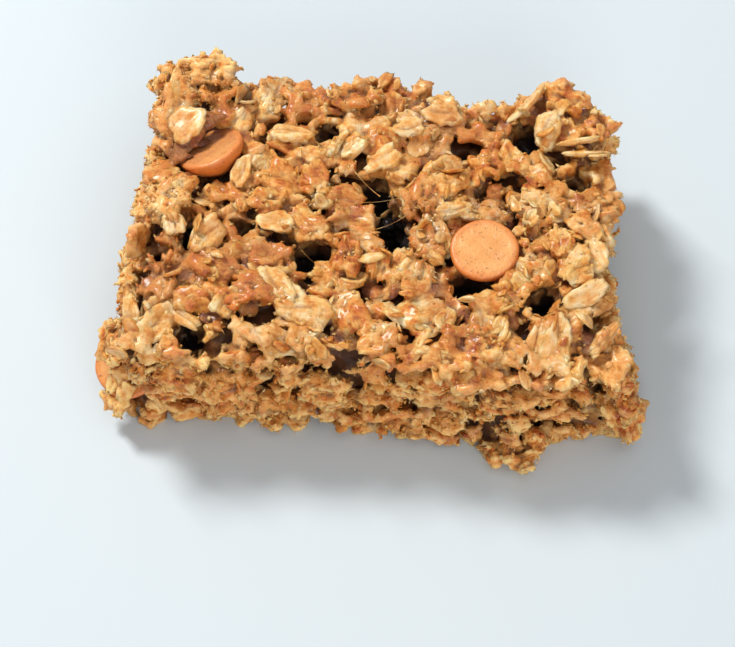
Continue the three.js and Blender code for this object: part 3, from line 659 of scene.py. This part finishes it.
grainy = maths("ADD", maths("MULTIPLY", shade, 0.19), mapped(cloud, 0.28, 0.72, 0.05, 0.80))
grainy = maths("ADD", grainy, mapped(streak, 0.3, 0.7, -0.14, 0.14))
flesh = ramp(grainy, (0.0, "#A44A14"), (0.2, "#CE7624"), (0.4, "#E49E46"), (0.62, "#F3C178"), (0.88, "#FEE4B4"))
syrup = ramp(mapped(patch, 0.3, 0.7), (0.0, "#5E3024"), (0.4, "#8C5038"), (0.7, "#BE7638"), (1.0, "#D89A4E"))
# The cut faces' tone carries the painted light and shade of their torn steps
crumb_tone = maths("ADD", mapped(patch, 0.3, 0.7), maths("MULTIPLY", shade, 0.3))
crumb = ramp(crumb_tone, (0.0, "#744620"), (0.4, "#C6843A"), (0.68, "#EEBE6A"), (0.95, "#FFE6AA"))
glaze = maths("MULTIPLY", crust, mapped(broad, 0.36, 0.58, 0.1, 0.85))
oat_skin = blend(maths("MULTIPLY", glaze, mapped(patch, 0.4, 0.6)), flesh, syrup)
skin = blend(oat, blend(crust, crumb, syrup), oat_skin)
toasted = maths("MULTIPLY", mapped(cavity, 0.08, 0.4), mapped(patch, 0.44, 0.6, 0.0, 0.65))
skin = blend(maths("MULTIPLY", toasted, mapped(crust, 0.0, 0.5, 0.15, 1.0)), skin, "#D26C1C")
# Painted shade in the fine pits: the colour is darkened where the fine bump is low, with little of it on the oats
painted_pit_shade = maths("MULTIPLY", mapped(fine_grain, 0.62, 0.36, 0.0, 0.55), mapped(oat, 0.1, 0.9, 1.0, 0.12))
skin = blend(painted_pit_shade, skin, blend(1.0, skin, "#A86C36", "MULTIPLY"))
# Painted shade, in part syrup: larger hollows are darkened, to dark brown on the cut faces and towards the syrup
# colour on the crust
skin = blend(mapped(valley_here, 0.45, -0.4, 0.0, 0.78), skin, blend(crust, "#5E3814", syrup))
# Painted shade: small crevices are darkened towards dark brown, by how far each place lies in
skin = blend(mapped(cavity, 0.02, -0.34, 0.0, 0.8), skin, blend(crust, "#6E4014", "#642E12"))
bit = node(tree, "ShaderNodeAttribute", {"attribute_name": "amber"}).outputs["Fac"]
skin = blend(mapped(bit, 0.3, 0.6, 0.0, 0.8), skin, "#DC7A2C")
# Painted highlight: places that stand out on the cut faces are painted pale cream
raised_highlight = maths("MULTIPLY", mapped(cavity, 0.1, 0.36, 0.0, 0.8), mapped(crust, 0.6, 0.1))
skin = blend(maths("MULTIPLY", raised_highlight, mapped(patch, 0.62, 0.42, 0.15, 1.0)), skin, "#FFE3A6")
skin = blend(mapped(crust, 0.6, 0.0), skin, blend(1.0, skin, "#FFEED6", "MULTIPLY"))
skin = blend(maths("MULTIPLY", crease, 0.6), skin, "#96582A")
# Painted shade: places deep below the bar's outer skin are painted near black, as the shadow inside deep holes
skin = blend(mapped(sunk, 2.4, 4.4), skin, "#1C0B03")
tree.links.new(skin, shader.inputs["Base Color"])
coarse_bump = node(tree, "ShaderNodeBump", {"Distance": 0.0012}, Height=noise(place, 800.0, 5.0, 0.72),
                   Strength=mapped(oat, 0.2, 0.9, 1.0, 0.6))
streak_bump = node(tree, "ShaderNodeBump", {"Strength": 0.7, "Distance": 0.0003}, Height=streak,
                   Normal=coarse_bump.outputs[0])
bumped = node(tree, "ShaderNodeBump", {"Distance": 0.0004}, Height=fine_grain,
              Strength=mapped(oat, 0.2, 0.9, 0.95, 0.65), Normal=streak_bump.outputs[0])
tree.links.new(bumped.outputs[0], shader.inputs["Normal"])
wet = maths("MULTIPLY", mapped(crust, 0.0, 0.8), mapped(cloud, 0.35, 0.6))
tree.links.new(mapped(wet, 0.0, 1.0, 0.6, 0.26), shader.inputs["Roughness"])
shader.inputs["IOR"].default_value = 1.47
shader.inputs["Subsurface Weight"].default_value = 0.34
shader.inputs["Subsurface Radius"].default_value = (1.0, 0.55, 0.22)
shader.inputs["Subsurface Scale"].default_value = 0.0018
shader.inputs["Coat Weight"].default_value = 0.3
shader.inputs["Coat Roughness"].default_value = 0.2
settled.materials.append(baked)
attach(mass, "root")
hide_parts("oat_bar")

# Baking chips: moulded drops of sugar, palm fat and caramel colouring, lying base up in the crust.
# They softened in the oven, so the rims are round and the bases a little dished and freckled.
chip_wax = bpy.data.materials.new("moulded_caramel_baking_chip")
chip_wax.use_nodes = True
tree = chip_wax.node_tree
shader = tree.nodes["Principled BSDF"]
place = node(tree, "ShaderNodeTexCoord").outputs["Object"]
rim = node(tree, "ShaderNodeAttribute", {"attribute_name": "rim"}).outputs["Fac"]
patch = noise(place, 300.0, 4.0)
freckle = noise(place, 2400.0, 2.0, 0.5)
face = ramp(mapped(patch, 0.3, 0.7), (0.0, "#D28F50"), (1.0, "#E2A767"))
skin = blend(mapped(rim, 0.0, 1.0, 0.0, 0.85), face, "#CC6C28")
skin = blend(mapped(freckle, 0.62, 0.68, 0.0, 0.65), skin, "#8A4A26")
glaze = node(tree, "ShaderNodeAttribute", {"attribute_name": "glaze"}).outputs["Fac"]
smeared = maths("MULTIPLY", glaze, mapped(patch, 0.36, 0.62, 0.25, 1.0))
skin = blend(smeared, skin, "#9A5036")
tree.links.new(mapped(glaze, 0.0, 0.6, 0.4, 0.22), shader.inputs["Roughness"])
tree.links.new(skin, shader.inputs["Base Color"])
bumped = node(tree, "ShaderNodeBump", {"Strength": 0.35, "Distance": 0.0003}, Height=freckle)
tree.links.new(bumped.outputs[0], shader.inputs["Normal"])
shader.inputs["Subsurface Weight"].default_value = 0.15
shader.inputs["Subsurface Radius"].default_value = (1.0, 0.5, 0.25)
shader.inputs["Subsurface Scale"].default_value = 0.0008
AROUND = 96


def chip_surface(at, lean_x, lean_y, seed):
    """A turned drop: rings of a profile of (radius, height), each ring a little out of round;
    returns the points and how far each ring is over the rim."""
    t = np.linspace(0, 1, 30)[1:]
    turn = np.linspace(0, math.pi / 2, 9)[1:]
    flat = np.linspace(0.15, CHIP_RADIUS - 0.55, 14)
    radius = np.concatenate([flat, CHIP_RADIUS - 0.55 + 0.55 * np.sin(turn),
                             CHIP_RADIUS * (1 - t ** 1.7) + 0.08 * t])
    height = np.concatenate([0 * flat, -0.55 + 0.55 * np.cos(turn), -0.55 - (CHIP_HEIGHT - 0.55) * t])
    over = np.concatenate([np.clip((flat - 3.9) / 0.6, 0, 0.5), 0.5 + 0.5 * np.sin(turn), np.ones(len(t))])
    angle = np.linspace(0, 2 * math.pi, AROUND, endpoint=False)
    wobble = 1 + 0.012 * np.sin(2 * angle + seed) + 0.006 * np.sin(5 * angle + 2 * seed)
    x = radius[:, None] * np.cos(angle) * wobble
    y = radius[:, None] * np.sin(angle) * wobble
    z = height[:, None] - 0.12 * bump(np.hypot(x - 0.8, y + 0.4), 0, 2.6)
    z = z + 0.04 * np.sin(1.7 * x + seed) * np.sin(1.9 * y) + 0.02 * np.sin(4.1 * x) * np.sin(3.7 * y + seed)
    axes = np.array(Matrix.Rotation(math.radians(lean_x), 3, "X") @ Matrix.Rotation(math.radians(lean_y), 3, "Y"))
    return np.stack([x, y, z], -1).reshape(-1, 3) @ axes.T + at, np.repeat(over, AROUND)


def tube_faces(pieces, rings, around):
    """Faces of many like pieces, each of rings of points: quads between neighbouring rings, and one
    many-sided cap at each end; outwards where the rings run down and turn anticlockwise."""
    i = np.arange(rings - 1)[:, None] * around
    j = np.arange(around)
    k = (j + 1) % around
    start = np.arange(pieces)[:, None, None] * (rings * around)
    quads = np.stack([i + j, i + around + j, i + around + k, i + k], -1).reshape(1, -1, 4) + start
    first = np.broadcast_to(j, (1, around)) + start[:, :, 0]
    last = np.broadcast_to((rings - 1) * around + j[::-1], (1, around)) + start[:, :, 0]
    return quads.reshape(-1, 4).tolist() + first.tolist() + last.tolist()


for seed, (name, (at, lean_x, lean_y)) in enumerate(CHIPS.items()):
    points, over = chip_surface(at, lean_x, lean_y, seed)
    chip = add_mesh(name + "_drop", points, tube_faces(1, len(points) // AROUND, AROUND))
    paint(chip, "rim", over)
    from_middle = (points - at) @ (-0.62, 0.78, 0.0)
    paint(chip, "glaze", np.clip((from_middle + 4.0) / 5, 0, 0.9) * (1 - over) * (name == "baking_chip_2"))
    chip.data.materials.append(chip_wax)
    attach(chip, "root")
    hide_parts(name)


def plates(centres, half_sizes, axes, seeds, rings, around, fine_relief=1.0):
    """Oat flakes as closed oval plates. A flake's middle sheet is w = t (dish rho^2 + bend u^2 +
    twist u v); its skin stands off it by t sqrt(1 - rho^3), less a crease along the middle and small
    ridges, and its outline is torn by waves of 3, 5, 9 and 14 a turn. Returns the points, rho, the
    crease, and a place along and across the oat for its fibres."""
    rho = np.concatenate([np.linspace(0.12, 1, rings), np.linspace(1, 0.12, rings)[1:]])
    side = np.concatenate([np.ones(rings), -np.ones(rings - 1)])
    angle = np.linspace(0, 2 * math.pi, around, endpoint=False)
    n = np.arange(len(centres))

    def one(k):
        return chance(seeds, k)[:, None, None]

    wild = 0.7 + 1.2 * one(44)
    torn = 1 + wild * (0.08 * np.sin(3 * angle + 6.3 * one(31)) + 0.05 * np.sin(5 * angle + 6.3 * one(32)) +
                       0.035 * np.sin(9 * angle + 6.3 * one(35)) + 0.025 * np.sin(14 * angle + 6.3 * one(36)))
    rho = rho[None, :, None]
    side = side[None, :, None]
    x = rho * np.cos(angle) * torn
    y = rho * np.sin(angle) * torn
    a, b, t = [np.asarray(half_sizes)[:, i][:, None, None] for i in range(3)]
    u, v = a * x, b * y
    line = 0.22 * np.sin(2.2 * x + 6.3 * one(37))
    groove = bump(y, line, 0.13) * np.clip(1.25 - rho, 0, 1) * np.where(side > 0, 1, 0.4)
    ridge = np.cos(9 * (y - line) + 2 * one(38)) * 0.08 + 0.05 * np.sin(5 * x + 9 * one(39)) * np.sin(6 * y)
    groove = groove * np.where(one(45) > 0.35, 1, 0.15)
    skin = np.sqrt(np.clip(1 - rho ** 3, 0, 1)) * (1 + fine_relief * wild * ridge) - fine_relief * 0.4 * groove
    sheet = t * ((one(33) - 0.35) * 2.2 * rho ** 2 + (one(40) - 0.5) * 1.6 * x * x + (one(41) - 0.5) * 1.4 * x * y)
    w = side * t * skin + sheet
    local = np.stack(np.broadcast_arrays(u, v, w), -1)
    points = np.einsum("nij,nrkj->nrki", axes, local) + np.asarray(centres)[:, None, None, :]
    rho = np.broadcast_to(rho, w.shape)
    fibre = np.stack(np.broadcast_arrays(0.22 * u + 9 * one(42), v, 5 * one(43)), -1)
    return points.reshape(-1, 3), rho.reshape(-1), np.broadcast_to(groove, w.shape).reshape(-1), fibre.reshape(-1, 3)


def dress(piece, tone_values, sunk_values, crust_values, cavity_values, crease_values, fibre_values):
    """Paints what the material reads on a piece of pure oat, gives it the baked material, hangs it under the root and
    hides the bar's plain solid.
    """
    count = len(piece.data.vertices)
    for name, values in (("oat", 1), ("tone", tone_values), ("sunk", sunk_values), ("crust", crust_values),
                         ("cavity", cavity_values), ("crease", crease_values)):
        paint(piece, name, np.broadcast_to(values, count))
    paint(piece, "fibre", fibre_values)
    corners = np.empty(3 * count)
    piece.data.vertices.foreach_get("co", corners)
    paint(piece, "valley", sampled(valley, corners.reshape(-1, 3) / MM - TO_MIDDLE))
    piece.data.materials.append(baked)
    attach(piece, "root")
    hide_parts("oat_bar")


# Large rolled oats: whole groats steamed and flattened between rollers, so each is a thin oval with
# a crease down the middle and a split, frayed edge. They lie half sunk in the syrup of the crust.
rows = [(at, [1.02 * s for s in halves], turned(turn, pitch, roll), tone_of, 2000 + n)
        for n, (at, halves, turn, pitch, roll, tone_of) in enumerate(LARGE_OATS.values())
        if halves[2] < PLATE_BELOW] + top_rows
RINGS, ROUND = ((8, 32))
points, rho, groove, lie = plates([row[0] for row in rows], [row[1] for row in rows],
                                  np.array([row[2] for row in rows]),
                                  np.array([float(row[4]) for row in rows]), RINGS, ROUND)
per_oat = len(points) // len(rows)
oats = add_mesh("large_oats", points, tube_faces(len(rows), 2 * RINGS - 1, ROUND))
dress(oats, np.repeat([0.9 * row[3] + 0.55 for row in rows], per_oat) + 0.35 * rho ** 3, sampled(-slab, points),
      np.repeat([0.45 * (row[0][2] > 17) for row in rows], per_oat), 0.14 * rho ** 4, groove, lie)

# Flakes and broken oats: thin, crisp and a few millimetres across, bedded in the skin of the bar at
# all angles. They are scattered over the baked mass's own points, more of them on the top.
rng = np.random.default_rng(7)
outward = np.empty(3 * len(settled.vertices))
settled.vertices.foreach_get("normal", outward)
outward = outward.reshape(-1, 3)
depth_here = sampled(-slab, spots)
crust_here = sampled(np.broadcast_to(upper, field.shape), spots)
clear = np.ones(len(spots), bool)
for at, _, _ in CHIPS.values():
    clear &= np.linalg.norm(spots - at, axis=1) > CHIP_RADIUS + 1.1
shallow = (depth_here < 1.6) & (spots[:, 2] > 0.8) & clear
inner = (np.abs(spots[:, 0]) < 38.6) & (np.abs(spots[:, 1]) < 27.6) & (spots[:, 2] < 22.8)


def spread(count, weights):
    """Random points of the baked mass, as indices, each taken with a chance that grows with its weight."""
    return rng.choice(len(weights), count, replace=False, p=weights / weights.sum())


def random_axes(normals, loose):
    """Axes whose third is the given normal, tipped at random by the looseness, spun at random."""
    third = normals + loose[:, None] * rng.normal(size=normals.shape)
    third /= np.linalg.norm(third, axis=1)[:, None]
    first = np.cross(third, rng.normal(size=normals.shape))
    first /= np.linalg.norm(first, axis=1)[:, None]
    return np.stack([first, np.cross(third, first), third], -1)


FLAKES = 420
chosen = spread(FLAKES, shallow * inner * (0.25 + 0.75 * crust_here))
size = 0.8 + 1.3 * rng.random(FLAKES) ** 1.6
halves = np.stack([size, size * rng.uniform(0.45, 0.85, FLAKES), rng.uniform(0.16, 0.34, FLAKES)], 1)
points, rho, groove, lie = plates(spots[chosen] + outward[chosen] * rng.uniform(-0.1, 0.25, FLAKES)[:, None], halves,
                             random_axes(outward[chosen], rng.uniform(0.15, 0.55, FLAKES)),
                             np.arange(FLAKES) + 5000.0, 4, 16, 0.8)
flakes = add_mesh("oat_flakes", points, tube_faces(FLAKES, 7, 16))
per_flake = 7 * 16
dress(flakes, np.repeat(rng.uniform(-0.6, 1.3, FLAKES), per_flake), sampled(-slab, points),
      np.repeat(crust_here[chosen] * 0.5, per_flake), 0.12 * rho ** 3, groove, lie)

# Torn crumb: shreds and grains pulled loose where the knife tore the bar, and fine crumbs stuck to
# the top. Each is a lopsided, flattened grain of twelve corners, half bedded in the surface.
CRUMBS = 8500
GOLD = (1 + math.sqrt(5)) / 2
CORNERS = np.array([(-1, GOLD, 0), (1, GOLD, 0), (-1, -GOLD, 0), (1, -GOLD, 0), (0, -1, GOLD), (0, 1, GOLD),
                    (0, -1, -GOLD), (0, 1, -GOLD), (GOLD, 0, -1), (GOLD, 0, 1), (-GOLD, 0, -1),
                    (-GOLD, 0, 1)]) / math.hypot(1, GOLD)
FACETS = np.array([(0, 11, 5), (0, 5, 1), (0, 1, 7), (0, 7, 10), (0, 10, 11), (1, 5, 9), (5, 11, 4), (11, 10, 2),
                   (10, 7, 6), (7, 1, 8), (3, 9, 4), (3, 4, 2), (3, 2, 6), (3, 6, 8), (3, 8, 9), (4, 9, 5),
                   (2, 4, 11), (6, 2, 10), (8, 6, 7), (9, 8, 1)])
chosen = spread(CRUMBS, shallow * inner * (1.0 - 0.75 * crust_here + 2.5 * crumbly))
size = 0.14 + 0.32 * rng.random(CRUMBS) ** 2.2
stretch = np.stack([size * rng.uniform(1.0, 2.2, CRUMBS), size, size * rng.uniform(0.3, 0.7, CRUMBS)], 1)
local = CORNERS * rng.uniform(0.65, 1.3, (CRUMBS, 12, 1)) * stretch[:, None, :]
axes = random_axes(outward[chosen], rng.uniform(0.3, 1.6, CRUMBS))
points = (np.einsum("nij,nkj->nki", axes, local) + (spots[chosen] + 0.08 * outward[chosen])[:, None, :]).reshape(-1, 3)
crumbs = add_mesh("torn_crumb", points, (FACETS + 12 * np.arange(CRUMBS)[:, None, None]).reshape(-1, 3))
dress(crumbs, np.repeat(rng.uniform(-0.9, 1.2, CRUMBS), 12), sampled(-slab, points),
      np.repeat(crust_here[chosen] * 0.8, 12), 0.1, 0, points)

# Bran shreds: fibres and slivers of oat pulled out where the bar was cut and torn. Each is a bent,
# tapered strand of four rings of three points, standing out of the edges of the torn faces.
SHREDS = 6000
edge_here = np.clip(3 * stands_out, 0.1, 1)
chosen = spread(SHREDS, shallow * inner * edge_here * (1.0 - 0.85 * crust_here))
heading = outward[chosen] * rng.uniform(0.1, 0.7, SHREDS)[:, None] + 0.8 * rng.normal(size=(SHREDS, 3))
heading /= np.linalg.norm(heading, axis=1)[:, None]
bend = np.cross(heading, rng.normal(size=(SHREDS, 3)))
level = np.cross(heading, bend)
level /= np.linalg.norm(level, axis=1)[:, None]
other = np.cross(level, heading)
span = 0.25 + 0.55 * rng.random(SHREDS) ** 2.0
thick = rng.uniform(0.03, 0.085, SHREDS)
along = np.linspace(-0.15, 1, 4)[None, :, None]
spine = (spots[chosen][:, None, :] + along * span[:, None, None] * heading[:, None, :] +
         0.5 * along ** 2 * span[:, None, None] * bend[:, None, :])
angle = np.linspace(0, 2 * math.pi, 3, endpoint=False)
ring = np.cos(angle)[:, None] * level[:, None, :] + 1.8 * np.sin(angle)[:, None] * other[:, None, :]
taper = thick[:, None, None, None] * (1.05 - along[..., None]) ** 0.6
points = (spine[:, :, None, :] + taper * ring[:, None, :, :]).reshape(-1, 3)
shreds = add_mesh("bran_shreds", points, tube_faces(SHREDS, 4, 3))
dress(shreds, np.repeat(rng.uniform(0.0, 1.6, SHREDS), 12), sampled(-slab, points), 0.0, 0.2, 0, points)

# Syrup threads: sugar and butter pulled into hairs when the warm bar was torn, three of them across
# the big hole in the top, each sagging a little between its ends.
THREADS = [((-4.6, 9.6, 20.6), (-0.6, 5.4, 20.9), 0.14), ((-3.4, 4.6, 20.2), (3.2, 6.0, 20.4), 0.09),
           ((-0.8, 0.2, 20.2), (3.4, 2.6, 20.6), 0.10), ((6.0, 12.2, 21.2), (7.2, 15.0, 21.8), 0.07),
           ((-11.4, -4.0, 20.0), (-8.6, -6.4, 20.0), 0.07)]
along = np.linspace(0, 1, 14)[:, None]
angle = np.linspace(0, 2 * math.pi, 6, endpoint=False)
hairs = []
for start, end, radius in THREADS:
    start, end = np.array(start), np.array(end)
    middle_line = start + (end - start) * along + np.array([0, 0, -0.5]) * (4 * along * (1 - along))
    ahead = (end - start) / np.linalg.norm(end - start)
    level = np.cross(ahead, (0, 0, 1.0))
    level /= np.linalg.norm(level)
    rise = np.cross(level, ahead)
    thick = radius * (0.3 + 1.8 * (along - 0.5) ** 2)
    ring = np.cos(angle)[:, None] * level + np.sin(angle)[:, None] * rise
    hairs.append((middle_line[:, None, :] + thick[:, :, None] * ring[None]).reshape(-1, 3))
points = np.concatenate(hairs)
threads = add_mesh("syrup_threads", points, tube_faces(len(THREADS), 14, 6))
dress(threads, 0.0, 0.0, 1.0, 0.1, 0, points)

# A plain pale floor, soft studio light from the back left and above, and the camera at the
# photograph's angle: 61 degrees up, 4 degrees round to the right, 350 mm away.
bpy.ops.mesh.primitive_plane_add(size=3.0, location=(0, 0, 0))
floor = bpy.context.object
floor.name = "floor"
paper = bpy.data.materials.new("pale_floor")
paper.use_nodes = True
paper.node_tree.nodes["Principled BSDF"].inputs["Base Color"].default_value = linear("#BEC8CF")
paper.node_tree.nodes["Principled BSDF"].inputs["Roughness"].default_value = 0.7
floor.data.materials.append(paper)

world = bpy.data.worlds.new("soft_room")
bpy.context.scene.world = world
world.use_nodes = True
world.node_tree.nodes["Background"].inputs["Color"].default_value = linear("#EEF3FA")
world.node_tree.nodes["Background"].inputs["Strength"].default_value = 0.41
bpy.context.scene.view_settings.view_transform = "Standard"
for name, spot, size, power, colour in (
        ("window", (-0.40, 0.35, 0.60), 0.18, 7.0, "#FFFDF8"),
        ("overhead", (0.15, -0.1, 0.75), 0.5, 1.0, "#FFF8EE"),
        ("front_fill", (0.2, -0.7, 0.35), 0.5, 3.5, "#FFF6EA")):
    lamp = bpy.data.lights.new(name, "AREA")
    lamp.size = size
    lamp.energy = power
    lamp.color = linear(colour)[:3]
    holder = bpy.data.objects.new(name, lamp)
    holder.location = spot
    holder.rotation_euler = (Vector((0, 0, 0.01)) - Vector(spot)).to_track_quat("-Z", "Y").to_euler()
    bpy.context.collection.objects.link(holder)

ELEVATION = math.radians(61)
AZIMUTH = math.radians(4)
DISTANCE = 0.350
AIM = Vector((-0.0004, -0.0153, 0.020))
PIXELS_PER_MM = 7.0
back_to_camera = Vector((math.sin(AZIMUTH) * math.cos(ELEVATION), -math.cos(AZIMUTH) * math.cos(ELEVATION),
                         math.sin(ELEVATION)))
camera = bpy.data.cameras.new("camera")
camera.sensor_width = 36.0
camera.lens = 36.0 * PIXELS_PER_MM * (DISTANCE / MM) / 735
eye = bpy.data.objects.new("camera", camera)
eye.location = AIM + back_to_camera * DISTANCE
eye.rotation_euler = back_to_camera.to_track_quat("Z", "Y").to_euler()
bpy.context.collection.objects.link(eye)
bpy.context.scene.camera = eye
